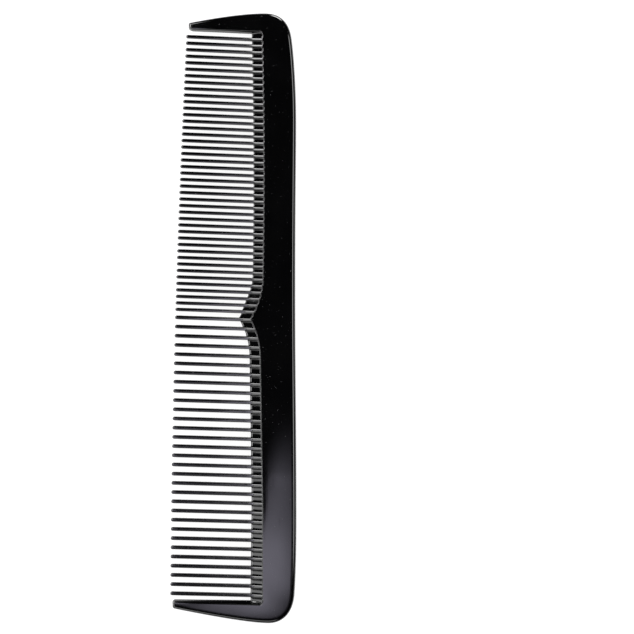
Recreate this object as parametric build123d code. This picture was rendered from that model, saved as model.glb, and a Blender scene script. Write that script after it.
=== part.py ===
from build123d import *
import math
import os

# A moulded dressing comb with fine teeth at one end and coarse teeth at the other.
# It lies flat. X runs across it, from the tooth tips to the back. Y runs along it,
# from the coarse end to the fine end. Z is the thickness, measured here from the
# parting plane, which every part is symmetric about. All sizes are in millimetres.

# Body: the back and the two guard teeth share one flat face on each side.
body_thickness = 4.4
end_y = 95.0
outer_edge_radius = 0.9
lip_chamfer = 0.35

# Back edge, slightly hollow along its middle and fullest near the coarse end.
fine_back_x = 19.535
coarse_back_x = 19.63
back_hollow_x = 19.27
back_hollow_y = 6.0

# Root line: the lip where the flat face ends and the tooth roots begin.
# It steps out towards the teeth in a point between the fine and the coarse teeth.
# Along the fine teeth it is bowed away from them, on a long arc.
root_point_x = 5.2
root_point_y = -0.14
fine_bow_x = 9.39
fine_bow_y = 44.0
fine_bow_radius = 1700.0
fine_flank_y = 13.5
coarse_flank_x = 8.32
coarse_flank_y = -12.5
coarse_root_x = 9.04
coarse_straight_y = -60.0

# Guard teeth: their inner edges, and how their thickness falls towards the tips.
fine_guard_inner_y = 88.97
fine_guard_slope = -0.0453
fine_guard_tip_x = -14.05
coarse_guard_inner_y = -87.94
coarse_guard_slope = -0.0127
coarse_guard_tip_x = -19.12
guard_taper_length = 16.0
guard_tip_thickness = 4.0
guard_tip_margin = 0.05
rim_margin = 0.1

# Teeth: where each row starts, how far apart the teeth are, and their sections.
tooth_datum_x = -5.79
fine_count = 43
fine_first_y = 87.47
fine_pitch = 2.0266
fine_width = 1.16
coarse_count = 31
coarse_first_y = -0.12
coarse_pitch = 2.867
coarse_width = 1.28
tooth_root_height = 3.3
tooth_tip_height = 1.5
tooth_draft = 0.11
tip_length = 0.45
tip_share = 0.5

# Tooth tips lie on a long, gently bowed line.
tip_line_x = -18.247
tip_line_slope = 0.0283
tip_line_radius = 3940.0

# Teeth lean towards the fine end, a little more at that end, in degrees.
lean_middle = 2.01
lean_per_mm = 0.00775

# How far the solids are built into each other before they are cut to meet.
wall_overlap = 3.0
web_overlap = 0.5
edge_reach = 0.15

# Webs: the sloping floors that join neighbouring teeth at their roots.
web_length = 3.2
web_root_height = 2.9
web_edge_height = 0.8


def root_x(y):
    """X of the root line at a place along the comb."""
    if y >= fine_flank_y:
        return fine_bow_x - (y - fine_bow_y) ** 2 / (2 * fine_bow_radius)
    if y >= root_point_y:
        return flank_x(y, root_x(fine_flank_y), fine_flank_y)
    if y >= coarse_flank_y:
        return flank_x(y, coarse_flank_x, coarse_flank_y)
    share = min((coarse_flank_y - y) / (coarse_flank_y - coarse_straight_y), 1.0)
    return coarse_flank_x + share * (coarse_root_x - coarse_flank_x)


def flank_x(y, start_x, start_y):
    """X on the arc that leaves the root line along Y and ends at the root point."""
    run = abs(start_y - root_point_y)
    rise = start_x - root_point_x
    radius = (run**2 + rise**2) / (2 * rise)
    return start_x - radius + math.sqrt(radius**2 - (y - start_y) ** 2)


def root_point(y):
    return (root_x(y), y)


def guard_inner_y(x, middle_y, slope):
    return middle_y + slope * x


def fine_corner():
    """Where the root line meets the fine-end guard tooth."""
    y = guard_inner_y(root_x(fine_guard_inner_y), fine_guard_inner_y, fine_guard_slope)
    return root_point(y)


def lean(y):
    """Lean of a tooth towards the fine end, in degrees."""
    return lean_middle + lean_per_mm * y


def tip_x(y):
    """X of the line that the tooth tips lie on."""
    return tip_line_x + tip_line_slope * y + y**2 / (2 * tip_line_radius)


def root_line():
    """Edges of the root line from the coarse end to the fine end."""
    coarse_y = guard_inner_y(coarse_root_x, coarse_guard_inner_y, coarse_guard_slope)
    straight = Line((coarse_root_x, coarse_y), root_point(coarse_straight_y))
    slant = Line(straight @ 1, root_point(coarse_flank_y))
    coarse_middle = root_point((coarse_flank_y + root_point_y) / 2)
    coarse_flank = ThreePointArc(slant @ 1, coarse_middle, root_point(root_point_y))
    fine_middle = root_point((fine_flank_y + root_point_y) / 2)
    fine_flank = ThreePointArc(coarse_flank @ 1, fine_middle, root_point(fine_flank_y))
    fine_bow = ThreePointArc(fine_flank @ 1, root_point(fine_bow_y), fine_corner())
    return [straight, slant, coarse_flank, fine_flank, fine_bow]


def fine_guard_edges(start):
    """Edges round the fine-end guard tooth, from the root line to the end corner."""
    inner_end_x = fine_guard_tip_x + 1.45
    inner_y = guard_inner_y(inner_end_x, fine_guard_inner_y, fine_guard_slope)
    tip = (fine_guard_tip_x, 90.95)
    inner = Line(start, (inner_end_x, inner_y))
    under = Bezier(inner @ 1, (-13.6, 89.6), (fine_guard_tip_x, 90.2), tip)
    over = Bezier(tip, (fine_guard_tip_x, 91.5), (-13.85, 91.94), (-13.3, 92.05))
    outer = Bezier(over @ 1, (-5.3, 93.65), (3.5, end_y), (9.8, end_y))
    return [inner, under, over, outer]


def coarse_guard_edges(end):
    """Edges round the coarse-end guard tooth, from the end corner to the root line."""
    inner_end_x = coarse_guard_tip_x + 1.2
    inner_y = guard_inner_y(inner_end_x, coarse_guard_inner_y, coarse_guard_slope)
    tip = (coarse_guard_tip_x, -88.95)
    outer = Bezier((11.0, -end_y), (5.0, -end_y), (-8.4, -92.47), (-18.2, -90.47))
    under = Bezier(outer @ 1, (-18.9, -90.3), (coarse_guard_tip_x, -89.75), tip)
    over = Bezier(tip, (coarse_guard_tip_x, -88.2), (-18.75, -87.62), (inner_end_x, inner_y))
    inner = Line(over @ 1, end)
    return [outer, under, over, inner]


def back_edges():
    """Edges of the back, from the fine-end corner to the coarse-end corner."""
    fine_corner = Bezier((9.8, end_y), (14.6, end_y), (17.3, 92.3), (18.06, 87.5))
    fine_curve = Bezier(fine_corner @ 1, (18.7, 83.2), (19.5, 73.0), (fine_back_x, 62.0))
    hollow = (back_hollow_x, back_hollow_y)
    fine_run = Bezier(fine_curve @ 1, (19.57, 51.0), (19.25, 38.0), hollow)
    fullest = (coarse_back_x, -62.0)
    coarse_run = Bezier(hollow, (19.285, -18.0), (coarse_back_x, -36.0), fullest)
    coarse_curve = Bezier(fullest, (coarse_back_x, -70.0), (19.5, -79.0), (19.03, -86.0))
    coarse_corner = Bezier(coarse_curve @ 1, (18.65, -91.6), (15.6, -end_y), (11.0, -end_y))
    return [fine_corner, fine_curve, fine_run, coarse_run, coarse_curve, coarse_corner]


def thickness_profile(tip):
    """Side view of the body: full thickness, curving thinner towards a guard's tip."""
    half = body_thickness / 2
    thin = guard_tip_thickness / 2
    start = tip + guard_taper_length
    upper = TangentArc((start, half), (tip, thin), tangent=(-1, 0))
    lower = TangentArc((start, -half), (tip, -thin), tangent=(-1, 0))
    far = coarse_back_x + 1
    outline = [
        upper,
        Line((tip, thin), (tip, -thin)),
        lower,
        Line((start, -half), (far, -half)),
        Line((far, -half), (far, half)),
        Line((far, half), (start, half)),
    ]
    return Plane.XZ * make_face(outline)


def whole_body():
    """The back and both guard teeth in one piece, before they are parted."""
    root = root_line()
    fine_guard = fine_guard_edges(root[-1] @ 1)
    coarse_guard = coarse_guard_edges(root[0] @ 0)
    outline = make_face([*root, *fine_guard, *back_edges(), *coarse_guard])
    slab = extrude(outline, body_thickness / 2, both=True)
    fine_side = extrude(thickness_profile(fine_guard_tip_x - guard_tip_margin), -(end_y + 1))
    coarse_side = extrude(thickness_profile(coarse_guard_tip_x - guard_tip_margin), end_y + 1)
    return slab & (fine_side + coarse_side)


def is_rim(edge):
    """True for the edges round the flat faces and their tapers."""
    lowest = min(abs((edge @ share).Z) for share in (0, 0.5, 1))
    return lowest > guard_tip_thickness / 2 - rim_margin


def faces_teeth(edge):
    """True for the rim edges that look into the row of teeth."""
    middle = edge @ 0.5
    fine_y = guard_inner_y(middle.X, fine_guard_inner_y, fine_guard_slope)
    coarse_y = guard_inner_y(middle.X, coarse_guard_inner_y, coarse_guard_slope)
    inside = coarse_y - edge_reach < middle.Y < fine_y + edge_reach
    return inside and middle.X < root_x(middle.Y) + edge_reach


def shape_edges(body):
    """Round the outer edges and chamfer the lip along the root line."""
    outer = [edge for edge in body.edges() if is_rim(edge) and not faces_teeth(edge)]
    rounded = fillet(outer, outer_edge_radius)
    inner = [edge for edge in rounded.edges() if is_rim(edge) and faces_teeth(edge)]
    return chamfer(inner, lip_chamfer)


def part_body(body):
    """The body parted into the back and its two guard teeth."""
    size = 2 * end_y
    block = Box(size, size, size, align=(Align.MAX, Align.MIN, Align.CENTER))
    fine_guard = body & (Pos(fine_corner()[0], fine_flank_y, 0) * block)
    block = Box(size, size, size, align=(Align.MAX, Align.MAX, Align.CENTER))
    coarse_guard = body & (Pos(coarse_root_x, coarse_straight_y, 0) * block)
    return body - fine_guard - coarse_guard, fine_guard, coarse_guard


def tooth_axis(y):
    """Unit vector from the root of a tooth to its tip."""
    angle = math.radians(lean(y))
    return Vector(-math.cos(angle), math.sin(angle), 0)


def tooth_y(x, y):
    """Y of a tooth's centre line, for the tooth that crosses the datum line at y."""
    return y - math.tan(math.radians(lean(y))) * (x - tooth_datum_x)


def tooth_section(y, x, width, height):
    """Six-sided section of a tooth, widest on the parting plane, with drafted flanks."""
    crest = (width - tooth_draft * height) / 2
    corners = [
        (width / 2, 0),
        (crest, height / 2),
        (-crest, height / 2),
        (-width / 2, 0),
        (-crest, -height / 2),
        (crest, -height / 2),
    ]
    axis = tooth_axis(y)
    across = axis.cross(Vector(0, 0, 1))
    plane = Plane(origin=(x, tooth_y(x, y), 0), x_dir=across, z_dir=axis)
    return plane * make_face(Polyline(*corners, close=True))


def tooth(y, width, back):
    """One tooth, from the back's wall to its blunt tip."""
    root = root_x(tooth_y(root_x(y), y))
    inside = root + wall_overlap
    tip = tip_x(tooth_y(tip_x(y), y))
    shoulder = tip + tip_length
    growth = (tooth_root_height - tooth_tip_height) / (root - tip)
    sections = [
        tooth_section(y, inside, width, tooth_root_height + growth * wall_overlap),
        tooth_section(y, shoulder, width, tooth_tip_height + growth * tip_length),
        tooth_section(y, tip, width * tip_share, tooth_tip_height * tip_share),
    ]
    return loft(sections, ruled=True) - back


def web_section(low, high, shift, height):
    """Upright rectangle between two places on the root line, moved towards the teeth."""
    half = height / 2
    corners = [
        (low[0] - shift, low[1], -half),
        (high[0] - shift, high[1], -half),
        (high[0] - shift, high[1], half),
        (low[0] - shift, low[1], half),
    ]
    return make_face(Polyline(*corners, close=True))


def web(low_y, high_y, neighbours):
    """Sloping floor between two teeth, thick at the root line and thin at its edge."""
    fall = (web_root_height - web_edge_height) / web_length
    low = root_point(low_y)
    high = root_point(high_y)
    root = web_section(low, high, -web_overlap, web_root_height + fall * web_overlap)
    edge = web_section(low, high, web_length, web_edge_height)
    floor = loft([root, edge], ruled=True)
    for neighbour in neighbours:
        floor = floor - neighbour
    return floor


def row_places(first_y, pitch, count):
    """Datum places of a row of teeth, from the fine end towards the coarse end."""
    return [first_y - pitch * index for index in range(count)]


def web_places(places):
    """Places of the teeth where they meet the root line."""
    return [tooth_y(root_x(y), y) for y in places]


def web_row(solids, ends):
    """Webs between solids next to each other, whose places on the root line are ends."""
    webs = []
    for index in range(len(solids) - 1):
        neighbours = [back, solids[index], solids[index + 1]]
        webs.append(web(ends[index + 1], ends[index], neighbours))
    return webs


def write_node(name, solids):
    """Write solids as one node, with the comb lying on the plane Z = 0."""
    lifted = [Pos(0, 0, body_thickness / 2) * solid for solid in solids]
    shape = lifted[0] if len(lifted) == 1 else Compound(children=lifted)
    export_step(shape, f"parts/{name}.step")


os.makedirs("parts", exist_ok=True)

back, fine_guard, coarse_guard = part_body(shape_edges(whole_body()))

fine_places = row_places(fine_first_y, fine_pitch, fine_count)
coarse_places = row_places(coarse_first_y, coarse_pitch, coarse_count)
fine_teeth = [tooth(y, fine_width, back) for y in fine_places]
coarse_teeth = [tooth(y, coarse_width, back) for y in coarse_places]

coarse_guard_y = guard_inner_y(coarse_root_x, coarse_guard_inner_y, coarse_guard_slope)
fine_ends = [fine_corner()[1] + web_overlap, *web_places(fine_places)]
coarse_ends = [*web_places(coarse_places), coarse_guard_y - web_overlap]
fine_webs = web_row(
    [fine_guard, *fine_teeth, coarse_teeth[0]],
    [*fine_ends, coarse_ends[0]],
)
coarse_webs = web_row([*coarse_teeth, coarse_guard], coarse_ends)

write_node("spine", [back])
write_node("fine_end_guard_tooth", [fine_guard])
write_node("coarse_end_guard_tooth", [coarse_guard])
write_node("fine_teeth", fine_teeth)
write_node("coarse_teeth", coarse_teeth)
write_node("fine_tooth_webs", fine_webs)
write_node("coarse_tooth_webs", coarse_webs)
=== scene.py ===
import math

import bmesh
import bpy
import numpy as np
from mathutils import Matrix, Vector


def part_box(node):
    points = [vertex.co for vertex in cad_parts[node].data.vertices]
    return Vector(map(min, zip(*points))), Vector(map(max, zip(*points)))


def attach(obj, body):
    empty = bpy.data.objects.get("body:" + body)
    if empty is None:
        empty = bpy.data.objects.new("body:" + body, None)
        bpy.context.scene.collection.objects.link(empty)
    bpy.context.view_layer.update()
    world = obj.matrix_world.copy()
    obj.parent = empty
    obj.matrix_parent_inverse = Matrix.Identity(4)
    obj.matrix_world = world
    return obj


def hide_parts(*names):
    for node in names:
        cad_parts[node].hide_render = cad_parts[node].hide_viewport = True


# A moulded dressing comb lying flat, seen from straight above. The shapes are worked
# out in millimetres about the parting plane, and written as metres in the row frame.

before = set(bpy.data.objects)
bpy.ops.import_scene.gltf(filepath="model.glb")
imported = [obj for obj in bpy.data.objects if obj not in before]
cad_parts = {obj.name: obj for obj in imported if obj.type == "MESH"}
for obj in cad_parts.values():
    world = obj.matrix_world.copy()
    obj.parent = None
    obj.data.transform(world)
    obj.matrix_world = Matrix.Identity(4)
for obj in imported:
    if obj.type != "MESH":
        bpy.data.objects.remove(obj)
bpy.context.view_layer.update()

MM = 0.001
SPINE_LOW, SPINE_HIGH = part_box("spine")
FINE_GUARD_LOW, FINE_GUARD_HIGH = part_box("fine_end_guard_tooth")
COARSE_GUARD_LOW, COARSE_GUARD_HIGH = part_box("coarse_end_guard_tooth")
HALF_THICKNESS = (SPINE_HIGH.z - SPINE_LOW.z) / MM / 2
PARTING_Z = HALF_THICKNESS

# ---- Sizes, in millimetres ----

# Back edge, slightly hollow along its middle, and the end corners.
END_Y = SPINE_HIGH.y / MM
BACK_X = SPINE_HIGH.x / MM
FINE_BACK = (19.535, 62.0)
HOLLOW = (19.27, 6.0)
COARSE_BACK = (BACK_X, -62.0)
FINE_BACK_END = (18.06, 87.5)
COARSE_BACK_END = (19.03, -86.0)
FINE_END_TOP = (9.8, END_Y)
COARSE_END_TOP = (11.0, -END_Y)

# Root line: where the flat face ends and the tooth roots begin.
ROOT_POINT = (5.2, -0.14)
FINE_ROOT_X = FINE_GUARD_HIGH.x / MM
FINE_BOW = (9.39, 44.0)
FINE_BOW_RADIUS = 1700.0
FINE_FLANK_Y = 13.5
COARSE_FLANK = (8.32, -12.5)
COARSE_ROOT_X = COARSE_GUARD_HIGH.x / MM
COARSE_STRAIGHT_Y = -60.0
INNER_CORNER_RADIUS = 0.6
FINE_SCALLOP = 0.22
COARSE_SCALLOP = 0.05

# Guard teeth: tips, inner edges as (Y on the middle line, slope), flanks and taper.
FINE_TIP = (FINE_GUARD_LOW.x / MM, 90.95)
COARSE_TIP = (COARSE_GUARD_LOW.x / MM, -88.95)
FINE_INNER = (88.97, -0.0453)
COARSE_INNER = (-87.94, -0.0127)
FINE_TIP_ROUND = 1.45
COARSE_TIP_ROUND = 1.2
FINE_GUARD_FLANK = 0.45
COARSE_GUARD_FLANK = 1.0
TAPER_LENGTH = 16.0
TIP_HALF_THICKNESS = 2.0

# The edges: how far the wall leans and how round its top is, at the fine tip, the fine
# guard's root, both ends of the root line, the coarse guard's root and the coarse tip.
LIP_RADIUS = 0.2
FLANKS = (0.3, FINE_GUARD_FLANK, 0.0, 0.0, COARSE_GUARD_FLANK, 0.5)
INNER_ROUNDS = (0.45, 0.5, LIP_RADIUS, LIP_RADIUS, 0.35, 0.35)
OUTER_ROUNDS = (0.6, 1.1, 1.08, 1.08, 1.1, 0.7)
PARTING_RIDGE = 0.02

# The face falls away slightly to its outer edge (crown) and its inner edge (sink).
CROWN_DROP = 0.03
CROWN_REACH = 1.7
SINK_DROP = 0.01
SINK_REACH = 1.8

# Teeth: the axis is looked for among these leans, and a crest rises before the root.
LEANS = np.radians(np.arange(-5.0, 1.0, 0.02))
TOOTH_DRAFT = 0.11
TIP_LENGTH = 0.45
ROUND_TIP = 0.6
CREST_CURVE = 2.0
CREST_ROUND = 0.6
FLANK_ROUND = 0.3
CREST_RISE = 0.4
CREST_REACH = 3.2
WALL_OVERLAP = 0.6
WELD_DISTANCE = 0.001

# Webs between the tooth roots, thickest at the root line. Each reaches into the back's
# wall and into its teeth, from 0.55 of a tooth's half-width, and is a little longer in
# the corners beside them. The middle of a gap is taken at one X.
WEB_ROOT_HALF = 1.75
WEB_EDGE_HALF = 0.42
WEB_OVERLAP = 0.3
WEB_MIDDLE_X = 6.0
ROOT_FILLET = 0.15
FLANK_INSET = 0.55
CORNER_REACH = 0.4
CORNER_GROWTH = 0.15
# How far under the face a web stays beside a tooth and beside a guard tooth, and how far
# inside a guard tooth's edge its line for the webs lies.
TOOTH_MARGIN = 0.15
GUARD_MARGIN = 0.5
GUARD_DEPTH = 1.2

# Web lengths, with a little more beside the root point and towards the coarse end.
FINE_WEB_LENGTH = 3.1
COARSE_WEB_LENGTH = 3.3
COARSE_END_START = -50.0
COARSE_END_RUN = 35.0
COARSE_END_GROWTH = 0.42
NOTCH_Y = 4.2
NOTCH_REACH = 5.0
NOTCH_GROWTH = 0.9

# ---- Mesh fineness ----

GUARD_STATIONS = 60
GUARD_SPREAD = 1.4
CORNER_STATIONS = 22
SPINE_STATIONS = 524
CURVE_POINTS = 80
TIP_POINTS = 40
CORNER_POINTS = 120
EDGE_POINTS = 160
APEX_POINTS = 30
APEX_SHARE = 0.035
# Shares across the flat face, closer together towards the outer edge.
ACROSS = np.array([0, 0.05, 0.1, 0.17, 0.3, 0.5, 0.7, 0.82, 0.89, 0.95, 1.0])
WALL_SHARES = (0.06, 0.5)
ARC_STEPS = 8
SECTION_CURVE = (0.0, 0.33, 0.67, 1.0)
STRAIGHT_RINGS = 16
RISE_RINGS = 10
TIP_RINGS = (0.3, 0.55, 0.75, 0.88, 0.96, 0.99)
TIP_WIDTH_POWER = 2.2
TIP_HEIGHT_POWER = 5
WEB_ACROSS = 14
WEB_STEPS = (-WEB_OVERLAP, -0.02, 0.0, 0.03, 0.07, 0.12, 0.2, 0.5, 0.9, 1.3, 1.7, 2.1, 2.5)
WEB_EDGE_STEPS = 7


def bezier(points, count):
    """Points along a cubic curve, both ends included."""
    a, b, c, d = (np.array(p, float) for p in points)
    t = np.linspace(0, 1, count)[:, None]
    return (1 - t) ** 3 * a + 3 * (1 - t) ** 2 * t * b + 3 * (1 - t) * t**2 * c + t**3 * d


def resample(line, shares):
    """Points at shares of a polyline's length."""
    steps = np.linalg.norm(np.diff(line, axis=0), axis=1)
    along = np.concatenate([[0], np.cumsum(steps)])
    places = np.asarray(shares) * along[-1]
    return np.stack([np.interp(places, along, line[:, i]) for i in range(2)], axis=1)


def smooth(value, start, end):
    """0 at start, 1 at end, eased between."""
    t = min(max((value - start) / (end - start), 0.0), 1.0)
    return t * t * (3 - 2 * t)


def add_object(name, mesh):
    piece = bpy.data.objects.new(name, mesh)
    bpy.context.scene.collection.objects.link(piece)
    return piece


# ---- The outline of the back and guard teeth ----


def flank_x(y, start_x, start_y):
    """X on the arc that leaves the root line along Y and ends at the root point."""
    run = abs(start_y - ROOT_POINT[1])
    rise = start_x - ROOT_POINT[0]
    radius = (run**2 + rise**2) / (2 * rise)
    return start_x - radius + math.sqrt(radius**2 - (y - start_y) ** 2)


def root_x(y):
    """X of the root line at a place along the comb."""
    if y >= FINE_FLANK_Y:
        return FINE_BOW[0] - (y - FINE_BOW[1]) ** 2 / (2 * FINE_BOW_RADIUS)
    if y >= ROOT_POINT[1]:
        return flank_x(y, root_x(FINE_FLANK_Y), FINE_FLANK_Y)
    if y >= COARSE_FLANK[1]:
        return flank_x(y, *COARSE_FLANK)
    share = min((COARSE_FLANK[1] - y) / (COARSE_FLANK[1] - COARSE_STRAIGHT_Y), 1.0)
    return COARSE_FLANK[0] + share * (COARSE_ROOT_X - COARSE_FLANK[0])


def inner_y(x, edge):
    """Y of a guard tooth's inner edge."""
    return edge[0] + edge[1] * x


def fine_outer():
    """From the tip to the end corner."""
    x = FINE_TIP[0]
    start = (-13.3, 92.05)
    over = bezier([FINE_TIP, (x, 91.5), (-13.85, 91.94), start], TIP_POINTS)
    edge = bezier([start, (-5.3, 93.65), (3.5, END_Y), FINE_END_TOP], EDGE_POINTS)
    return np.vstack([over[:-1], edge])


def fine_inner():
    """From the tip to the root line."""
    x = FINE_TIP[0]
    end_x = x + FINE_TIP_ROUND
    end = (end_x, inner_y(end_x, FINE_INNER))
    under = bezier([FINE_TIP, (x, 90.2), (-13.6, 89.6), end], TIP_POINTS)
    return np.vstack([under, inner_end(FINE_ROOT_X, FINE_INNER)])


def coarse_outer():
    """From the tip to the end corner."""
    x = COARSE_TIP[0]
    start = (-18.2, -90.47)
    under = bezier([COARSE_TIP, (x, -89.75), (-18.9, -90.3), start], TIP_POINTS)
    edge = bezier([start, (-8.4, -92.47), (5.0, -END_Y), COARSE_END_TOP], EDGE_POINTS)
    return np.vstack([under[:-1], edge])


def coarse_inner():
    """From the tip to the root line."""
    x = COARSE_TIP[0]
    end_x = x + COARSE_TIP_ROUND
    end = (end_x, inner_y(end_x, COARSE_INNER))
    over = bezier([COARSE_TIP, (x, -88.2), (-18.75, -87.62), end], TIP_POINTS)
    return np.vstack([over, inner_end(COARSE_ROOT_X, COARSE_INNER)])


def inner_end(root, edge):
    """Where a guard tooth's inner edge meets its small inside arc."""
    x = root - INNER_CORNER_RADIUS
    return np.array([[x, inner_y(x, edge)]])


def corner_arc(root, edge, turn):
    """Small inside arc between a guard tooth and the root line."""
    radius = INNER_CORNER_RADIUS
    y = inner_y(root - radius, edge)
    centre = np.array([root - radius, y - turn * radius])
    angles = np.linspace(0, math.pi / 2, CORNER_STATIONS + 1)
    return centre + radius * np.stack([np.sin(angles), turn * np.cos(angles)], axis=1)


def fine_end_corner():
    points = [FINE_END_TOP, (14.6, END_Y), (17.3, 92.3), FINE_BACK_END]
    return bezier(points, CORNER_POINTS)


def coarse_end_corner():
    points = [COARSE_BACK_END, (18.65, -91.6), (15.6, -END_Y), COARSE_END_TOP]
    return bezier(points, CORNER_POINTS)


def back_edge():
    """The back's own edge, from the fine-end corner to the coarse-end corner."""
    runs = [
        [FINE_BACK_END, (18.7, 83.2), (19.5, 73.0), FINE_BACK],
        [FINE_BACK, (19.57, 51.0), (19.25, 38.0), HOLLOW],
        [HOLLOW, (19.285, -18.0), (BACK_X, -36.0), COARSE_BACK],
        [COARSE_BACK, (BACK_X, -70.0), (19.5, -79.0), COARSE_BACK_END],
    ]
    return np.vstack([bezier(run, CURVE_POINTS) for run in runs])


def scallop(places):
    """How far into a scallop a place is: 0 at each tooth, 1 midway between two."""
    return 0.5 - 0.5 * np.cos(2 * math.pi * places)


def blend_values(values, counts):
    """Straight runs between values, each with its own number of points."""
    runs = [
        np.linspace(start, end, count + 1)[:-1]
        for start, end, count in zip(values, values[1:], counts)
    ]
    return np.append(np.concatenate(runs), values[-1])


class Outline:
    """Matching points on the comb's inner and outer edges, from the fine tip to the coarse tip."""

    def __init__(self, tooth_roots):
        spread = np.linspace(0, 1, GUARD_STATIONS) ** GUARD_SPREAD
        shares = APEX_SHARE + (1 - APEX_SHARE) * spread
        even = np.linspace(0, 1, CORNER_STATIONS + 1)
        fine_in, fine_out = fine_inner(), fine_outer()
        coarse_in, coarse_out = coarse_inner(), coarse_outer()
        fine_turn = corner_arc(FINE_ROOT_X, FINE_INNER, 1)
        coarse_turn = corner_arc(COARSE_ROOT_X, COARSE_INNER, -1)[::-1]
        root_line = self.root_line(fine_turn[-1][1], coarse_turn[0][1], tooth_roots)
        self.inner = np.vstack(
            [
                resample(fine_in, shares),
                fine_turn[1:-1],
                root_line,
                coarse_turn[1:-1],
                resample(coarse_in, shares)[::-1],
            ]
        )
        self.outer = np.vstack(
            [
                resample(fine_out, shares),
                resample(fine_end_corner(), even)[1:-1],
                self.back_line(),
                resample(coarse_end_corner(), even)[1:-1],
                resample(coarse_out, shares)[::-1],
            ]
        )
        self.count = len(self.inner)
        self.parting = (GUARD_STATIONS - 1, self.count - GUARD_STATIONS)
        self.fine_apex = self.apex(fine_in, fine_out)
        self.coarse_apex = self.apex(coarse_in, coarse_out)
        counts = [GUARD_STATIONS - 1, CORNER_STATIONS, SPINE_STATIONS - 1]
        counts += [CORNER_STATIONS, GUARD_STATIONS - 1]
        self.flank = blend_values(FLANKS, counts)
        self.inner_round = blend_values(INNER_ROUNDS, counts)
        self.outer_round = blend_values(OUTER_ROUNDS, counts)

    def root_line(self, top, bottom, tooth_roots):
        """The root line, scalloped between the teeth."""
        ys = np.linspace(top, bottom, SPINE_STATIONS)
        ys[np.argmin(np.abs(ys - ROOT_POINT[1]))] = ROOT_POINT[1]
        places = np.interp(-ys, -np.array(tooth_roots), np.arange(len(tooth_roots)))
        depth = np.where(ys > 0, FINE_SCALLOP, COARSE_SCALLOP)
        xs = np.array([root_x(y) for y in ys]) + depth * scallop(places)
        return np.stack([xs, ys], axis=1)

    def back_line(self):
        """The back opposite the root line."""
        edge = back_edge()[::-1]
        ys = np.linspace(FINE_BACK_END[1], COARSE_BACK_END[1], SPINE_STATIONS)
        return np.stack([np.interp(ys, edge[:, 1], edge[:, 0]), ys], axis=1)

    def apex(self, inner, outer):
        """The arc round a guard tooth's tip, from the inner edge to the outer edge."""
        back = resample(inner, np.linspace(APEX_SHARE, 0, APEX_POINTS))
        on = resample(outer, np.linspace(0, APEX_SHARE, APEX_POINTS))[1:]
        return resample(np.vstack([back, on]), ACROSS)


# ---- The back and guard teeth ----


def fall(distance, drop, reach):
    """How far the face has fallen away at a distance from an edge, and its slope."""
    left = max(reach - distance, 0.0) / reach
    return drop * left**2, 2 * drop * left / reach


def crown(from_outer, from_inner):
    """The face's drop, and its slopes down to the outer edge and to the inner edge."""
    outer_drop, outer_slope = fall(from_outer, CROWN_DROP, CROWN_REACH)
    inner_drop, inner_slope = fall(from_inner, SINK_DROP, SINK_REACH)
    return outer_drop + inner_drop, outer_slope, inner_slope


def taper(x, y):
    """Thickness share at a place, and how it changes with x: guard teeth thin to their tips."""
    tip = np.where(y > 0, FINE_TIP[0], COARSE_TIP[0])
    drop = HALF_THICKNESS - TIP_HALF_THICKNESS
    radius = (TAPER_LENGTH**2 + drop**2) / (2 * drop)
    run = np.clip(tip + TAPER_LENGTH - x, 0, TAPER_LENGTH)
    height = np.sqrt(radius**2 - run**2)
    return 1 - (radius - height) / HALF_THICKNESS, run / height / HALF_THICKNESS


def edge_profile(flank, radius, face_drop, face_slope):
    """(inset, height, lean of the surface) up an edge, from the parting line to the face."""
    end = math.atan(face_slope)
    centre_z = HALF_THICKNESS - face_drop - radius * math.cos(end)
    wall = HALF_THICKNESS - radius
    # The lean and the height where the wall meets the round top depend on each other.
    for _ in range(4):
        lean = math.atan2(flank, wall)
        wall = centre_z + radius * math.sin(lean)
    rows = [(0.0, 0.0, 0.0)]
    rows += [(PARTING_RIDGE + flank * share, wall * share, lean) for share in WALL_SHARES]
    centre_d = PARTING_RIDGE + flank + radius * math.cos(lean)
    for angle in np.linspace(lean, math.pi / 2 - end, ARC_STEPS + 1):
        inset = centre_d - radius * math.cos(angle)
        rows.append((inset, centre_z + radius * math.sin(angle), angle))
    return rows


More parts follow.
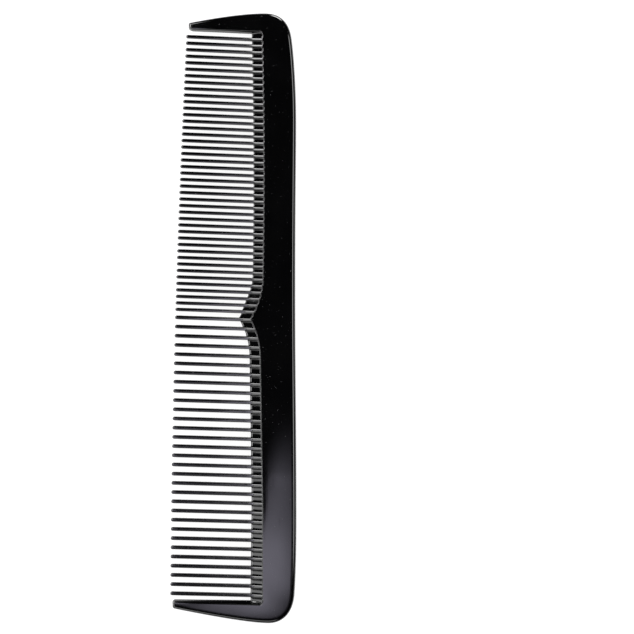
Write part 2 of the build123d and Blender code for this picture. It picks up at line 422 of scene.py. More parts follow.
class BodySurface:
    """The upper half of the back and guard teeth: points, normals, and faces by station."""

    def __init__(self, outline):
        self.outline = outline
        self.last = outline.count - 1
        self.wide = len(ACROSS)
        self.points, self.normals, self.quads = [], [], []
        self.loop = self.walk_round()
        self.rings = self.add_edges()
        self.grid = self.add_face()
        self.add_quads()
        self.parting = set(self.rings[0])
        self.thin_guards()

    def walk_round(self):
        """The edge all round, as (line, index on it, station, share across the face)."""
        inside = [("inner", j, j, 0.0) for j in range(self.outline.count)]
        outside = [("outer", j, j, 1.0) for j in reversed(range(self.outline.count))]
        between = range(1, self.wide - 1)
        coarse_tip = [("coarse_apex", s, self.last, ACROSS[s]) for s in between]
        fine_tip = [("fine_apex", s, 0, ACROSS[s]) for s in reversed(between)]
        return inside + coarse_tip + outside + fine_tip

    def edge_points(self):
        """The edge's place and inward direction at each step round it."""
        outline = self.outline
        lines = {
            "inner": outline.inner,
            "outer": outline.outer,
            "fine_apex": outline.fine_apex,
            "coarse_apex": outline.coarse_apex,
        }
        places = np.array([lines[name][index] for name, index, _, _ in self.loop])
        after = np.roll(places, -1, axis=0)
        tangent = after - np.roll(places, 1, axis=0)
        inward = np.stack([-tangent[:, 1], tangent[:, 0]], axis=1)
        inward /= np.linalg.norm(inward, axis=1)[:, None]
        area = np.sum(places[:, 0] * after[:, 1] - places[:, 1] * after[:, 0])
        return places, inward * np.sign(area)

    def add_edges(self):
        """Rings of points from the parting line up to the face."""
        outline = self.outline
        places, inward = self.edge_points()
        widths = np.linalg.norm(outline.outer - outline.inner, axis=1)
        for i, (_, _, j, share) in enumerate(self.loop):
            flank = outline.flank[j] * (1 - share)
            radius = outline.inner_round[j] * (1 - share) + outline.outer_round[j] * share
            reach = flank + radius
            from_outer = (widths[j] - reach) * (1 - share) + reach * share
            from_inner = reach * (1 - share) + (widths[j] - reach) * share
            drop, outer_slope, inner_slope = crown(from_outer, from_inner)
            slope = outer_slope * share + inner_slope * (1 - share)
            rows = edge_profile(flank, radius, drop, slope)
            for inset, height, lean in rows:
                self.points.append([*(places[i] + inward[i] * inset), height])
                self.normals.append([*(-inward[i] * math.cos(lean)), math.sin(lean)])
        deep = len(rows)
        return [[i * deep + k for i in range(len(self.loop))] for k in range(deep)]

    def add_face(self):
        """Indices of the face's points, by station and by share across."""
        n, wide, top = self.outline.count, self.wide, self.rings[-1]
        grid = np.zeros((n, wide), int)
        grid[:, 0] = top[:n]
        grid[self.last, 1:-1] = top[n : n + wide - 2]
        grid[:, -1] = top[n + wide - 2 : 2 * n + wide - 2][::-1]
        grid[0, 1:-1] = top[2 * n + wide - 2 :][::-1]
        for j in range(1, n - 1):
            start = np.array(self.points[grid[j][0]][:2])
            end = np.array(self.points[grid[j][-1]][:2])
            towards = (start - end) / np.linalg.norm(start - end)
            for s in range(1, wide - 1):
                place = start + (end - start) * ACROSS[s]
                drop, outer_slope, inner_slope = crown(
                    np.linalg.norm(self.outline.outer[j] - place),
                    np.linalg.norm(self.outline.inner[j] - place),
                )
                grid[j][s] = len(self.points)
                self.points.append([*place, HALF_THICKNESS - drop])
                self.normals.append([*(towards * (inner_slope - outer_slope)), 1.0])
        return grid

    def add_quads(self):
        """Four-sided faces, each with the station that it belongs to."""
        for i, here in enumerate(self.loop):
            after = (i + 1) % len(self.loop)
            station = min(here[2], self.loop[after][2], self.last - 1)
            for low, high in zip(self.rings, self.rings[1:]):
                self.quads.append((station, [low[i], low[after], high[after], high[i]]))
        for j in range(self.last):
            here, after = self.grid[j], self.grid[j + 1]
            for s in range(self.wide - 1):
                self.quads.append((j, [here[s], after[s], after[s + 1], here[s + 1]]))

    def thin_guards(self):
        """Thin the guard teeth towards their tips, and turn the normals to match."""
        points, normals = np.array(self.points), np.array(self.normals)
        share, change = taper(points[:, 0], points[:, 1])
        lifted = normals[:, 2] * points[:, 2] * change / share
        normals = np.stack(
            [normals[:, 0] - lifted, normals[:, 1], normals[:, 2] / share], axis=1
        )
        points[:, 2] *= share
        self.points = points
        self.normals = normals / np.linalg.norm(normals, axis=1)[:, None]


def body_piece(name, surface, first, last):
    """The stations from first to last as one closed mesh, with the surface's own normals."""
    bm = bmesh.new()
    made, direction = {}, {}

    def vertex(index, under):
        key = (index, under and index not in surface.parting)
        if key not in made:
            side = -1 if key[1] else 1
            x, y, z = surface.points[index]
            made[key] = bm.verts.new((x * MM, y * MM, (side * z + PARTING_Z) * MM))
            nx, ny, nz = surface.normals[index]
            direction[key] = (nx, ny, side * nz)
        return made[key]

    for station, corners in surface.quads:
        if first <= station < last:
            bm.faces.new([vertex(c, False) for c in corners])
            bm.faces.new([vertex(c, True) for c in reversed(corners)])
    open_edges = [e for e in bm.edges if e.is_boundary]
    caps = bmesh.ops.holes_fill(bm, edges=open_edges, sides=0)["faces"]
    for face in caps:
        face.tag = True
    bmesh.ops.recalc_face_normals(bm, faces=bm.faces)
    for face in bm.faces:
        face.smooth = not face.tag
    bm.verts.index_update()
    by_vertex = {made[key].index: direction[key] for key in made}
    mesh = bpy.data.meshes.new(name)
    bm.to_mesh(mesh)
    bm.free()
    loops = []
    for polygon in mesh.polygons:
        for loop_index in polygon.loop_indices:
            smooth_normal = by_vertex[mesh.loops[loop_index].vertex_index]
            loops.append(smooth_normal if polygon.use_smooth else tuple(polygon.normal))
    mesh.normals_split_custom_set(loops)
    return add_object(name, mesh)


# ---- Teeth ----


class Tooth:
    """A CAD tooth's centre line and sizes, in millimetres about the parting plane."""

    def __init__(self, corners):
        def width(angle):
            return np.ptp(corners[:, :2] @ (-math.sin(angle), math.cos(angle)))

        # A tooth is a straight bar in plan, so its axis is where it measures narrowest.
        lean = min(LEANS, key=width)
        self.axis = np.array([math.cos(lean), math.sin(lean)])
        self.side = np.array([-self.axis[1], self.axis[0]])
        across = corners[:, :2] @ self.side
        along = corners[:, :2] @ self.axis
        middle = (across.max() + across.min()) / 2
        self.half_width = (across.max() - across.min()) / 2
        self.tip = self.axis * along.min() + self.side * middle
        self.length = along.max() - along.min()
        near_tip = np.abs(along - along.min() - TIP_LENGTH) < TIP_LENGTH / 2
        self.tip_half = np.abs(corners[near_tip, 2]).max()
        self.root_half = np.abs(corners[:, 2]).max()

    def centre_y(self, x):
        return self.tip[1] + (x - self.tip[0]) * self.axis[1] / self.axis[0]

    def root_y(self):
        y = self.centre_y(FINE_ROOT_X)
        return self.centre_y(root_x(y))

    def half_height(self, along):
        """Half-height of the crest at a distance from the tip, before it rises to the root."""
        share = np.clip((along - TIP_LENGTH) / (self.length - TIP_LENGTH), 0, None)
        return self.tip_half + (self.root_half - self.tip_half) * share**CREST_CURVE

    def rise(self, along):
        """How much higher the crest is near the root."""
        share = min(max(1 - (self.length - along) / CREST_REACH, 0.0), 1.0)
        return CREST_RISE * share**2


def cad_teeth(node):
    """The teeth of a CAD node, from the fine end to the coarse end."""
    bm = bmesh.new()
    bm.from_mesh(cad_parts[node].data)
    bmesh.ops.remove_doubles(bm, verts=bm.verts, dist=WELD_DISTANCE * MM)
    teeth, seen = [], set()
    for start in bm.verts:
        if start in seen:
            continue
        island, queue = [], [start]
        seen.add(start)
        while queue:
            vert = queue.pop()
            island.append(vert)
            for edge in vert.link_edges:
                other = edge.other_vert(vert)
                if other not in seen:
                    seen.add(other)
                    queue.append(other)
        corners = np.array([v.co for v in island]) / MM
        corners[:, 2] -= PARTING_Z
        teeth.append(Tooth(corners))
    bm.free()
    return sorted(teeth, key=lambda tooth: -tooth.tip[1])


def tooth_section(half_width, crest, half_height):
    """Rounded six-sided section, widest on the parting plane, as (across, up) points."""
    corners = [
        (half_width, 0.0, FLANK_ROUND),
        (crest, half_height, CREST_ROUND),
        (-crest, half_height, CREST_ROUND),
        (-half_width, 0.0, FLANK_ROUND),
        (-crest, -half_height, CREST_ROUND),
        (crest, -half_height, CREST_ROUND),
    ]
    section = []
    reach = min(crest, half_height / 2)
    for i, (x, z, roundness) in enumerate(corners):
        corner = np.array([x, z])
        before = np.array(corners[i - 1][:2]) - corner
        after = np.array(corners[(i + 1) % len(corners)][:2]) - corner
        start = corner + before / np.linalg.norm(before) * reach * roundness
        end = corner + after / np.linalg.norm(after) * reach * roundness
        for t in SECTION_CURVE:
            section.append((1 - t) ** 2 * start + 2 * (1 - t) * t * corner + t**2 * end)
    return np.array(section)


def tooth_rings(tooth):
    """Where a tooth's rings lie, as (distance from the tip, width share, height share)."""
    root = tooth.length + WALL_OVERLAP
    steep = tooth.length - CREST_REACH
    bar = [*np.linspace(root, steep, RISE_RINGS)]
    bar += [*np.linspace(steep, ROUND_TIP, STRAIGHT_RINGS)[1:]]
    rings = [(along, 1.0, 1.0) for along in bar]
    for q in TIP_RINGS:
        width = (1 - q**TIP_WIDTH_POWER) ** (1 / TIP_WIDTH_POWER)
        height = (1 - q**TIP_HEIGHT_POWER) ** (1 / TIP_HEIGHT_POWER)
        rings.append((ROUND_TIP * (1 - q), width, height))
    return rings


def add_tooth(bm, tooth):
    """One tooth, from inside the back's wall to its rounded tip."""
    rings = []
    for along, width, height in tooth_rings(tooth):
        half_height = tooth.half_height(min(along, tooth.length))
        crest = tooth.half_width - TOOTH_DRAFT * half_height
        section = tooth_section(tooth.half_width, crest, half_height + tooth.rise(along))
        centre = tooth.tip + tooth.axis * along
        ring = []
        for across, up in section * (width, height):
            x, y = centre + tooth.side * across
            ring.append(bm.verts.new((x * MM, y * MM, (up + PARTING_Z) * MM)))
        rings.append(ring)
    count = len(rings[0])
    for near, far in zip(rings, rings[1:]):
        for i in range(count):
            after = (i + 1) % count
            bm.faces.new([near[i], near[after], far[after], far[i]]).smooth = True
    bm.faces.new(list(reversed(rings[0])))
    bm.faces.new(rings[-1]).smooth = True


# ---- Webs ----


class WebStyle:
    """A row's webs: how hollow they are, their fillets, round ends and bow at the root.

    Their slope is level from side to side at 1, and follows the root line at 0.
    """

    def __init__(self, scoop, fillet, rounding, scallop, level):
        self.scoop, self.fillet = scoop, fillet
        self.rounding, self.scallop = rounding, scallop
        self.level = level


FINE_STYLE = WebStyle(
    scoop=1.0, fillet=0.06, rounding=0.32, scallop=FINE_SCALLOP, level=0.0
)
COARSE_STYLE = WebStyle(
    scoop=1.1, fillet=0.22, rounding=0.6, scallop=COARSE_SCALLOP, level=1.0
)


class Side:
    """What a web runs into on one side: its centre line, its half-width at a height, and
    the height that the web stays under."""

    def __init__(self, centre_y, half_width, top):
        self.centre_y, self.half_width, self.top = centre_y, half_width, top


def tooth_side(tooth):
    """A tooth as a web's neighbour."""

    def half_width(height):
        return tooth.half_width - TOOTH_DRAFT * height

    return Side(tooth.centre_y, half_width, HALF_THICKNESS - TOOTH_MARGIN)


def guard_side(edge, outward, flank):
    """A guard tooth as a web's neighbour, with a line inside its edge as its centre."""

    def centre_y(x):
        return inner_y(x, edge) + outward * GUARD_DEPTH

    def half_width(height):
        return GUARD_DEPTH - flank * height / HALF_THICKNESS

    return Side(centre_y, half_width, HALF_THICKNESS - GUARD_MARGIN)


def fillet_rise(distance, radius):
    """Height of a round fillet at a distance from the wall that it meets."""
    left = min(max(radius - distance, 0.0), radius)
    return radius - math.sqrt(radius**2 - left**2)


def web_half(share):
    """Half-thickness of a web's slope, at 0 on its edge and 1 on the root line."""
    return WEB_EDGE_HALF + (WEB_ROOT_HALF - WEB_EDGE_HALF) * share


def web_length(y):
    """Reach of a web from the root line: longest on the fine side of the root point."""
    base = FINE_WEB_LENGTH if y > ROOT_POINT[1] else COARSE_WEB_LENGTH
    base += COARSE_END_GROWTH * min(max(COARSE_END_START - y, 0.0) / COARSE_END_RUN, 1.0)
    return base + NOTCH_GROWTH * math.exp(-(((y - NOTCH_Y) / NOTCH_REACH) ** 2))


class Web:
    """One web between two sides, from inside the back's wall to its round edge."""

    def __init__(self, high, low, style):
        self.high, self.low, self.style = high, low, style
        self.middle = 0.5 * (high.centre_y(WEB_MIDDLE_X) + low.centre_y(WEB_MIDDLE_X))
        self.reach = web_length(self.middle)

    def steps(self):
        """Shares of the reach, from inside the wall to the edge."""
        start = 1 - self.style.rounding / self.reach
        turn = np.linspace(0, math.pi / 2, WEB_EDGE_STEPS)
        edge = start + (1 - start) * np.sin(turn)
        return [*(np.array(WEB_STEPS) / self.reach), *edge]

    def place(self, share, along):
        """X, Y and half-thickness at a share across and a share along."""
        high, low, style = self.high, self.low, self.style
        bulge = style.scallop * scallop(share)
        guess = web_half(1 - along)
        x = root_x(self.middle) - along * self.reach
        # X and Y depend on each other, through the sides' lean and the root line.
        for _ in range(3):
            y_high, y_low = high.centre_y(x), low.centre_y(x)
            start = y_high - high.half_width(WEB_EDGE_HALF) * FLANK_INSET
            end = y_low + low.half_width(WEB_EDGE_HALF) * FLANK_INSET
            y = start + (end - start) * share
            gap_high = (y_high - high.half_width(guess)) - y
            gap_low = y - (y_low + low.half_width(guess))
            gap = min(gap_high, gap_low)
            near = 1 - min(max(gap / CORNER_REACH, 0.0), 1.0)
            length = self.reach + CORNER_GROWTH * near**2 + bulge
            s = along * (length if along > 0 else self.reach)
            x = root_x(y) + bulge - s
        side = high if gap_high < gap_low else low
        slant = style.level * (root_x(self.middle) - root_x(y))
        return x, y, self.height(s, slant, gap, side, length)

    def height(self, s, slant, gap, side, length):
        """Half-thickness at a distance s from the root line, with the slope moved by slant."""
        slope = web_half(max(1 - (s + slant) / length, 0.0) ** self.style.scoop)
        rise = max(fillet_rise(gap, self.style.fillet), fillet_rise(s, ROOT_FILLET))
        edge = max(s - (length - self.style.rounding), 0.0) / self.style.rounding
        return min(slope + rise, side.top) * math.sqrt(max(1 - edge**2, 0.0))


def add_web(bm, web):
    """One web: its upper and lower faces, which meet at the round edge, and its walls."""
    shares = 0.5 - 0.5 * np.cos(np.linspace(0, math.pi, WEB_ACROSS + 1))
    steps = web.steps()
    top, bottom = [], []
    for step, along in enumerate(steps):
        upper, lower = [], []
        at_edge = step == len(steps) - 1
        for share in shares:
            x, y, height = web.place(share, along)
            height = 0.0 if at_edge else height
            upper.append(bm.verts.new((x * MM, y * MM, (PARTING_Z + height) * MM)))
            if not at_edge:
                lower.append(bm.verts.new((x * MM, y * MM, (PARTING_Z - height) * MM)))
        top.append(upper)
        bottom.append(upper if at_edge else lower)
    for i in range(len(steps) - 1):
        for j in range(WEB_ACROSS):
            up = [top[i][j], top[i][j + 1], top[i + 1][j + 1], top[i + 1][j]]
            down = [bottom[i][j], bottom[i + 1][j], bottom[i + 1][j + 1], bottom[i][j + 1]]
            bm.faces.new(up).smooth = True
            bm.faces.new(down).smooth = True
    for j in (0, WEB_ACROSS):
        wall = [row[j] for row in top] + [row[j] for row in reversed(bottom[:-1])]
        bm.faces.new(wall)
    bm.faces.new([*top[0], *reversed(bottom[0])])


def webs(sides, style):
    """The webs between neighbouring sides."""
    return [Web(high, low, style) for high, low in zip(sides, sides[1:])]


def piece_from(name, build, items):
    """One object of several closed solids."""
    bm = bmesh.new()
    for item in items:
        build(bm, item)
    bmesh.ops.recalc_face_normals(bm, faces=bm.faces)
    mesh = bpy.data.meshes.new(name)
    bm.to_mesh(mesh)
    bm.free()
    return add_object(name, mesh)


# ---- Material ----


class Nodes:
    """Short calls for building a node tree."""

    def __init__(self, tree):
        self.tree = tree
        tree.nodes.clear()

    def add(self, kind, **settings):
        made = self.tree.nodes.new(kind)
        for name, value in settings.items():
            setattr(made, name, value)
        return made

    def link(self, source, target):
        self.tree.links.new(source, target)

    def noise(self, place, scale, detail=2.0, roughness=0.5, stretch=(1, 1, 1)):
        mapping = self.add("ShaderNodeMapping")
        mapping.inputs["Scale"].default_value = stretch
        self.link(place, mapping.inputs["Vector"])
        made = self.add("ShaderNodeTexNoise")
        made.inputs["Scale"].default_value = scale
        made.inputs["Detail"].default_value = detail
        made.inputs["Roughness"].default_value = roughness
        self.link(mapping.outputs["Vector"], made.inputs["Vector"])
        return made.outputs["Fac"]

    def ramp(self, value, low, high, start=0.0, end=1.0):
        made = self.add("ShaderNodeMapRange", interpolation_type="SMOOTHSTEP")
        names = ("From Min", "From Max", "To Min", "To Max")
        for name, number in zip(names, (low, high, start, end)):
            made.inputs[name].default_value = number
        self.link(value, made.inputs["Value"])
        return made.outputs["Result"]

    def math(self, operation, first, second):
        made = self.add("ShaderNodeMath", operation=operation)
        for socket, value in zip(made.inputs, (first, second)):
            if isinstance(value, (int, float)):
                socket.default_value = value
            else:
                self.link(value, socket)
        return made.outputs["Value"]

    def mix(self, amount, first, second):
        made = self.add("ShaderNodeMix", data_type="RGBA")
        self.link(amount, made.inputs["Factor"])
        for name, value in (("A", first), ("B", second)):
            socket = [i for i in made.inputs if i.name == name and i.type == "RGBA"][0]
            if isinstance(value, tuple):
                socket.default_value = (*value, 1.0)
            else:
                self.link(value, socket)
        return [o for o in made.outputs if o.type == "RGBA"][0]


def new_material(name):
    """A material with an empty node tree, and the calls to fill it."""
    material = bpy.data.materials.new(name)
    material.use_nodes = True
    return material, Nodes(material.node_tree)


def black_plastic():
    """Glossy injection-moulded black plastic: polished, faintly wavy, lightly handled."""
    material, n = new_material("moulded_black_plastic")
    place = n.add("ShaderNodeTexCoord").outputs["Object"]
    shader = n.add("ShaderNodeBsdfPrincipled")
    shader.inputs["IOR"].default_value = 1.5
    output = n.add("ShaderNodeOutputMaterial")
    n.link(shader.outputs["BSDF"], output.inputs["Surface"])

    cloud = n.noise(place, 90, detail=3)
    streaks = n.noise(place, 55, detail=6, roughness=0.75, stretch=(60, 1.5, 60))
    scratch = n.ramp(streaks, 0.62, 0.72)
    grain = n.noise(place, 1400, detail=2)
    dust = n.ramp(n.noise(place, 2600, detail=1), 0.76, 0.8)
    point = n.add("ShaderNodeNewGeometry").outputs["Pointiness"]
    wear = n.math("MULTIPLY", n.ramp(point, 0.53, 0.62), n.ramp(cloud, 0.35, 0.7))

    colour = n.mix(cloud, (0.0002, 0.0002, 0.00025), (0.0008, 0.0008, 0.0009))
    colour = n.mix(wear, colour, (0.006, 0.006, 0.0065))
    colour = n.mix(dust, colour, (0.02, 0.02, 0.021))
    n.link(colour, shader.inputs["Base Color"])

    rough = n.ramp(cloud, 0.3, 0.75, 0.05, 0.075)
    rough = n.math("ADD", rough, n.math("MULTIPLY", scratch, 0.04))
    rough = n.math("ADD", rough, n.math("MULTIPLY", wear, 0.12))
    rough = n.math("ADD", rough, n.math("MULTIPLY", dust, 0.35))
    n.link(rough, shader.inputs["Roughness"])

    waves = n.noise(place, 60, detail=1, stretch=(1, 0.45, 1))
    bump = None
    for height, distance in ((waves, 2.5e-5), (grain, 5e-7), (scratch, 4e-7)):
        step = n.add("ShaderNodeBump")
        step.inputs["Strength"].default_value = 1.0
        step.inputs["Distance"].default_value = distance
        n.link(height, step.inputs["Height"])
        if bump:
            n.link(bump, step.inputs["Normal"])
        bump = step.outputs["Normal"]
    n.link(bump, shader.inputs["Normal"])
    return material


# ---- The comb ----

fine = cad_teeth("fine_teeth")
coarse = cad_teeth("coarse_teeth")
outline = Outline(
    [FINE_INNER[0], *(tooth.root_y() for tooth in fine + coarse), COARSE_INNER[0]]
)
surface = BodySurface(outline)
top_cut, low_cut = outline.parting

fine_sides = [guard_side(FINE_INNER, 1, FINE_GUARD_FLANK)]
fine_sides += [tooth_side(tooth) for tooth in fine + coarse[:1]]
coarse_sides = [tooth_side(tooth) for tooth in coarse]
coarse_sides += [guard_side(COARSE_INNER, -1, COARSE_GUARD_FLANK)]

pieces = {
    "spine": body_piece("spine_moulding", surface, top_cut, low_cut),
    "fine_end_guard_tooth": body_piece("fine_guard_moulding", surface, 0, top_cut),
    "coarse_end_guard_tooth": body_piece(
        "coarse_guard_moulding", surface, low_cut, outline.count
    ),
    "fine_teeth": piece_from("fine_tooth_row", add_tooth, fine),
    "coarse_teeth": piece_from("coarse_tooth_row", add_tooth, coarse),
    "fine_tooth_webs": piece_from("fine_web_row", add_web, webs(fine_sides, FINE_STYLE)),
    "coarse_tooth_webs": piece_from(
        "coarse_web_row", add_web, webs(coarse_sides, COARSE_STYLE)
    ),
}
plastic = black_plastic()
for node_name, piece in pieces.items():
    piece.data.materials.append(plastic)
    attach(piece, "root")
    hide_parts(node_name)


# ---- Floor, lights and camera ----

VIEW_CENTRE = (26.05, 0.39)
CAMERA_HEIGHT = 600.0
FIELD = 197.9
SENSOR = 36.0

# The floor lies a hair under the comb, so that no two faces share a plane.
FLOOR_GAP = 0.05
FLOOR_HALF_SIZE = 3000.0
FLOOR_COLOUR = (0.12, 0.12, 0.12, 1.0)
FLOOR_GLOW = 0.9
FLOOR_ROUGHNESS = 0.9

WHITE = (1.0, 1.0, 1.0)
WORLD_COLOUR = (0.006, 0.006, 0.006, 1.0)

# Softboxes: centre, size, strength, and the share of the half-size over which they fade.
SOFTBOXES = {
    "back_panel": ((540, 60, 780), (700, 600), 6.6, 0.2),
    "corner_accent": ((330, 915, 460), (380, 400), 23.0, 0.4),
    "ridge_panel": ((-375, 450, 900), (510, 600), 16.0, 0.15),
    "ridge_shade": ((-400, -300, 860), (470, 1100), 3.8, 0.2),
    "front_panel": ((-680, -178, 600), (560, 150), 3.6, 0.5),
    "front_near": ((-460, -735, 440), (620, 440), 1.4, 0.3),
    "low_strip": ((-850, 0, 350), (340, 1600), 9.0, 0.3),
    "near_end": ((-100, -800, 560), (700, 500), 3.2, 0.4),
    "far_end": ((0, 900, 500), (500, 200), 1.8, 0.5),
}

# The overhead lamp. Its brightness is worked out on a level plane at the parting line,
# where each place mirrors the spot of the lamp that the camera sees there.
OVERHEAD_HEIGHT = 400.0
OVERHEAD_STRENGTH = 3.15
OVERHEAD_TINT = (0.99, 0.95, 1.15)
OVERHEAD_XS = np.linspace(-34, 21, 56)
OVERHEAD_YS = np.linspace(-97, 91, 377)
OVERHEAD_END = (-94.6, -89.5)

# On the face, the glare grows towards the coarse end: first along a curve, then in
# steps, as (rise, from Y, to Y).
GLARE_LEVEL = 0.31
GLARE_START = -26.0
GLARE_RUN = 20.0
GLARE_POWER = 2.3
GLARE_STEPS = ((0.24, -47.5, -49.5), (0.44, -57.0, -76.0), (-0.1, -76.0, -90.0))
# The glare starts at this X, which moves with Y by one slope above the bend and by the
# other below it, blurred more at the top and at the bottom. It dims near the back edge.
GLARE_BEND = (9.6, -60.0)
GLARE_SLOPES = (0.2, 0.82)
GLARE_BLUR = 1.0
GLARE_TOP_BLUR = (1.6, -48.5, -44.0)
GLARE_LOW_BLUR = (4.0, -60.0, -80.0)
GLARE_DIM = (0.45, 13.5, 18.5)

# Tooth crests lean towards the tips, more so near the root, so each place on a crest
# mirrors one nearer to the tips: by little at the tip, and by about 30 mm near the root.
# The fine teeth's levels fade in at the fine end, and change to the coarse teeth's.
CREST_PLACES = (-34.0, -28.0, -24.0, -22.7, -21.7, -20.7, -19.5, -18.0)
FINE_CREST = (0.1, 0.1, 0.1, 0.1, 0.08, 0.05, 0.01, 0.0)
COARSE_CREST = (2.0, 1.8, 1.4, 0.95, 0.6, 0.27, 0.05, 0.0)
FINE_CREST_START = (89.0, 86.0)
CREST_CHANGE = (14.0, -24.0)

# The coarse guard tooth mirrors a band of its own.
GUARD_PLACES = (-29.0, -26.0, -20.5, -14.7, -8.7, -3.7, 0.0, 4.0, 9.0, 11.5, 13.3, 16.1, 18.0)
GUARD_LEVELS = (0.0, 0.06, 0.3, 0.45, 0.6, 0.7, 0.75, 1.0, 1.0, 0.75, 0.5, 0.25, 0.12)
GUARD_LEVEL = 0.95
GUARD_CHANGE = (-82.0, -88.5)


def flat_grid(name, half_size):
    """A square object of one face."""
    bm = bmesh.new()
    bmesh.ops.create_grid(bm, x_segments=1, y_segments=1, size=half_size)
    mesh = bpy.data.meshes.new(name)
    bm.to_mesh(mesh)
    bm.free()
    return add_object(name, mesh)


def add_floor():
    """Plain white paper under the comb."""
    floor = flat_grid("floor", FLOOR_HALF_SIZE * MM)
    floor.location.z = -FLOOR_GAP * MM
    material, n = new_material("white_paper")
    shader = n.add("ShaderNodeBsdfPrincipled")
    shader.inputs["Base Color"].default_value = FLOOR_COLOUR
    shader.inputs["Roughness"].default_value = FLOOR_ROUGHNESS
    shader.inputs["Emission Color"].default_value = (*WHITE, 1.0)
    shader.inputs["Emission Strength"].default_value = FLOOR_GLOW
    # Clear from below, so that the comb's underside can be seen.
    sides = n.add("ShaderNodeMixShader")
    n.link(n.add("ShaderNodeNewGeometry").outputs["Backfacing"], sides.inputs[0])
    n.link(shader.outputs["BSDF"], sides.inputs[1])
    n.link(n.add("ShaderNodeBsdfTransparent").outputs["BSDF"], sides.inputs[2])
    output = n.add("ShaderNodeOutputMaterial")
    n.link(sides.outputs["Shader"], output.inputs["Surface"])
    floor.data.materials.append(material)


def stepped(amount, value):
    """A rise that comes in between two places, from (rise, start, end)."""
    rise, start, end = amount
    return rise * smooth(value, start, end)


def face_level(x, y):
    """Brightness where the flat face of the back mirrors the lamp at (x, y)."""
    curve = min(max((GLARE_START - y) / GLARE_RUN, 0.0), 1.0) ** GLARE_POWER
    rise = GLARE_LEVEL * curve + sum(stepped(step, y) for step in GLARE_STEPS)
    bend_x, bend_y = GLARE_BEND
    edge_x = bend_x + GLARE_SLOPES[0 if y > bend_y else 1] * (y - bend_y)
    blur = GLARE_BLUR + stepped(GLARE_TOP_BLUR, y) + stepped(GLARE_LOW_BLUR, y)
    return rise * smooth(x, edge_x - blur, edge_x + blur) * (1 - stepped(GLARE_DIM, x))


def crest_level(x, y):
    """Brightness where the tooth crests mirror the lamp at (x, y)."""
    fine_level = np.interp(x, CREST_PLACES, FINE_CREST) * smooth(y, *FINE_CREST_START)
    coarse_level = np.interp(x, CREST_PLACES, COARSE_CREST)
    return fine_level + (coarse_level - fine_level) * smooth(y, *CREST_CHANGE)


def overhead_level(x, y):
    """Brightness of the overhead lamp where a level surface mirrors it at (x, y)."""
    level = max(face_level(x, y), crest_level(x, y))
    guard = GUARD_LEVEL * np.interp(x, GUARD_PLACES, GUARD_LEVELS)
    level += (guard - level) * smooth(y, *GUARD_CHANGE)
    return level * smooth(y, *OVERHEAD_END)


def overhead():
    """The lamp above the comb, placed where the camera sees it in a level surface."""
    reach = OVERHEAD_HEIGHT / CAMERA_HEIGHT
    bm = bmesh.new()
    layer = bm.loops.layers.float_color.new("level")
    rows = []
    for y in OVERHEAD_YS:
        row = []
        for x in OVERHEAD_XS:
            away = Vector((x - VIEW_CENTRE[0], y - VIEW_CENTRE[1]))
            place = Vector((x, y)) + away * reach
            row.append(bm.verts.new((place.x * MM, place.y * MM, OVERHEAD_HEIGHT * MM)))
        rows.append(row)
    for i in range(len(rows) - 1):
        for j in range(len(rows[0]) - 1):
            corners = [(i, j), (i, j + 1), (i + 1, j + 1), (i + 1, j)]
            face = bm.faces.new([rows[row][column] for row, column in corners])
            for loop, (row, column) in zip(face.loops, corners):
                level = overhead_level(OVERHEAD_XS[column], OVERHEAD_YS[row])
                loop[layer] = (level, level, level, 1.0)
    mesh = bpy.data.meshes.new("overhead")
    bm.to_mesh(mesh)
    bm.free()
    panel = add_object("overhead", mesh)
    material, n = new_material("overhead")
    mesh.materials.append(material)
    level = n.add("ShaderNodeAttribute", attribute_name="level").outputs["Fac"]
    light_up(panel, n, n.math("MULTIPLY", level, OVERHEAD_STRENGTH), OVERHEAD_TINT)


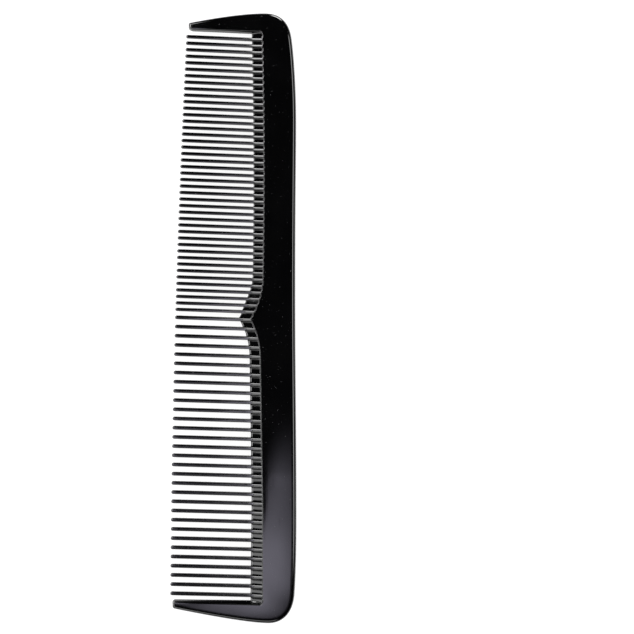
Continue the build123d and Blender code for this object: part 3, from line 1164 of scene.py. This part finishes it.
def softbox(name, centre, size, strength, edge):
    """A lit panel facing the comb, fading towards its edges."""
    panel = flat_grid(name, 1.0)
    panel.matrix_world = facing_comb(centre, size)
    material, n = new_material(name)
    panel.data.materials.append(material)
    axes = n.add("ShaderNodeSeparateXYZ")
    n.link(n.add("ShaderNodeTexCoord").outputs["Object"], axes.inputs["Vector"])
    fade = [
        n.ramp(n.math("ABSOLUTE", axes.outputs[axis], 0.0), 1.0, 1.0 - edge)
        for axis in ("X", "Y")
    ]
    level = n.math("MULTIPLY", n.math("MULTIPLY", fade[0], fade[1]), strength)
    light_up(panel, n, level, WHITE)


def facing_comb(centre, size):
    """The matrix of a panel that faces the comb, with its height as near to Y as it can be."""
    middle = Vector(centre) * MM
    away = middle.normalized()
    along = (Vector((0, 1, 0)) - away * away.y).normalized()
    across = along.cross(away)
    rotation = Matrix((across, along, away)).transposed().to_4x4()
    scale = Matrix.Diagonal((size[0] * MM / 2, size[1] * MM / 2, 1, 1))
    return Matrix.Translation(middle) @ rotation @ scale


def light_up(panel, n, level, tint):
    """Make a panel glow without hiding what lies behind it."""
    glow = n.add("ShaderNodeEmission")
    glow.inputs["Color"].default_value = (*tint, 1.0)
    n.link(level, glow.inputs["Strength"])
    both = n.add("ShaderNodeAddShader")
    n.link(glow.outputs["Emission"], both.inputs[0])
    n.link(n.add("ShaderNodeBsdfTransparent").outputs["BSDF"], both.inputs[1])
    output = n.add("ShaderNodeOutputMaterial")
    n.link(both.outputs["Shader"], output.inputs["Surface"])
    panel.visible_camera = False
    panel.visible_shadow = False


def add_lights():
    """A dark room with the overhead lamp and the softboxes."""
    world = bpy.data.worlds.new("studio")
    world.use_nodes = True
    world.node_tree.nodes["Background"].inputs["Color"].default_value = WORLD_COLOUR
    bpy.context.scene.world = world
    overhead()
    for name, (centre, size, strength, edge) in SOFTBOXES.items():
        softbox(name, centre, size, strength, edge)


def add_camera():
    """The camera straight above the middle of the view."""
    data = bpy.data.cameras.new("camera")
    data.sensor_width = SENSOR
    data.lens = SENSOR * CAMERA_HEIGHT / FIELD
    data.clip_start = 0.01
    data.clip_end = 20
    camera = add_object("camera", data)
    height = CAMERA_HEIGHT + PARTING_Z
    camera.location = (VIEW_CENTRE[0] * MM, VIEW_CENTRE[1] * MM, height * MM)
    bpy.context.scene.camera = camera


add_floor()
add_lights()
add_camera()
bpy.context.scene.view_settings.view_transform = "Standard"
